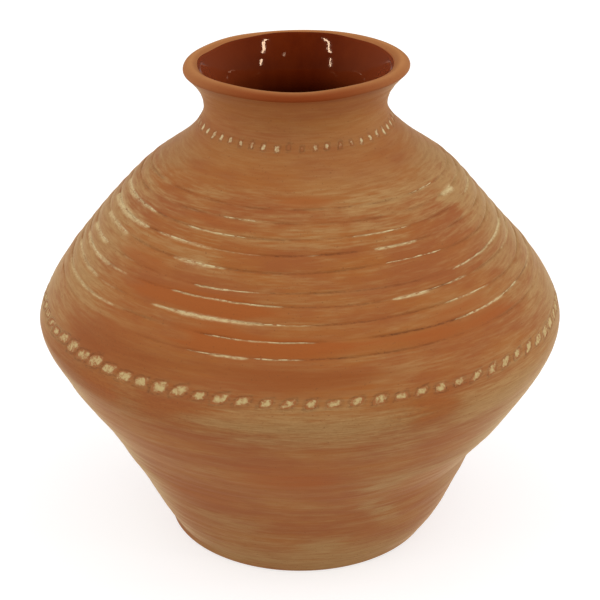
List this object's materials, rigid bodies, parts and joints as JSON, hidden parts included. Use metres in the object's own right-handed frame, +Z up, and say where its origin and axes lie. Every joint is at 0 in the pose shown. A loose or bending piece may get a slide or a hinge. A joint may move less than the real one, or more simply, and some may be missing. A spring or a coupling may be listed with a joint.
{
  "type": "terracotta vase",
  "caption": "Round terracotta vase with a wide angular belly, a short flared neck, a scored shoulder, rings of stamped slip-filled marks and a dark glazed inside.",
  "frame": {"origin": "centre of the foot's flat underside, on the ground", "axes": "+Z up the vase's axis; -Y towards the viewer of the picture; +X to the viewer's right"},
  "size_m": [0.33, 0.33, 0.309],
  "materials": {
    "terracotta": "matte fired clay under a thin brushed wash of pale slip",
    "bare_terracotta": "matte fired clay, smoothed with a wet finger",
    "joining_slip": "fired clay slip",
    "brown_glaze": "glossy red-brown glaze",
    "pale_slip": "matte dry slip"
  },
  "bodies": {
    "root": {"floor_slab": "terracotta", "lower_wall": "terracotta", "shoulder_wall": "terracotta", "neck_collar": "terracotta", "rim_coil": "bare_terracotta", "floor_lute": "joining_slip", "belly_lute": "joining_slip", "neck_lute": "joining_slip", "rim_lute": "joining_slip", "glaze_lining": "brown_glaze", "belly_mark_slip": "pale_slip", "neck_mark_slip": "pale_slip", "line_slip": "pale_slip"}
  },
  "joints": []
}
